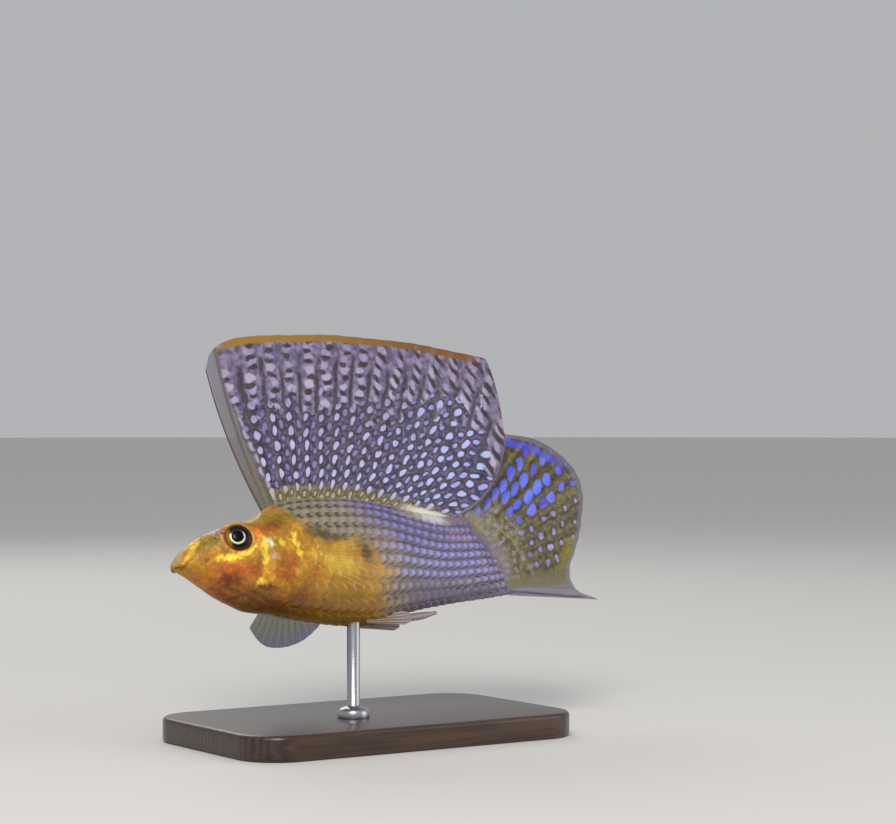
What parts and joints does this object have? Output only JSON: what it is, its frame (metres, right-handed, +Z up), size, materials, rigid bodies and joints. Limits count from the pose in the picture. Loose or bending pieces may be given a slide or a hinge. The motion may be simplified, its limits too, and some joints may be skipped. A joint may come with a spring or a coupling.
{
  "type": "sailfin molly display model",
  "caption": "Life-size still model of a male sailfin molly with its sail raised, banked on a short rod over a flat display base.",
  "frame": {"origin": "on the underside of the stand's base, below the middle of the fish's length", "axes": "+X towards the tail, -X the way the fish swims, +Z up, the fish's left side at -Y; the fish is banked 20 degrees about +X, its back towards +Y"},
  "size_m": [0.105, 0.046, 0.0819],
  "materials": {
    "gold_skin": "wet, metallic golden-orange fish skin",
    "pearl_skin": "wet scaled skin, gold belly shading to pearly lavender rows of scales",
    "eye_glass": "polished, black pupil in a silver ring",
    "sail_membrane": "thin lavender fin membrane with rows of pearly spots in a dark net and a gold rim",
    "tail_membrane": "thin olive fin membrane with blue spots",
    "clear_membrane": "thin, nearly clear yellowish fin membrane over fine rays",
    "stand_wood": "dark stained, satin lacquer",
    "stand_steel": "satin"
  },
  "bodies": {
    "root": {"head": "gold_skin", "lower_jaw": "gold_skin", "gill_cover_left": "gold_skin", "gill_cover_right": "gold_skin", "trunk": "pearl_skin", "tail_stalk": "pearl_skin", "eye_left": "eye_glass", "eye_right": "eye_glass", "dorsal_sail": "sail_membrane", "tail_fin": "tail_membrane", "pectoral_fin_left": "clear_membrane", "pectoral_fin_right": "clear_membrane", "pelvic_fin_left": "clear_membrane", "pelvic_fin_right": "clear_membrane", "gonopodium": "clear_membrane", "stand_base": "stand_wood", "stand_rod": "stand_steel"}
  },
  "joints": []
}
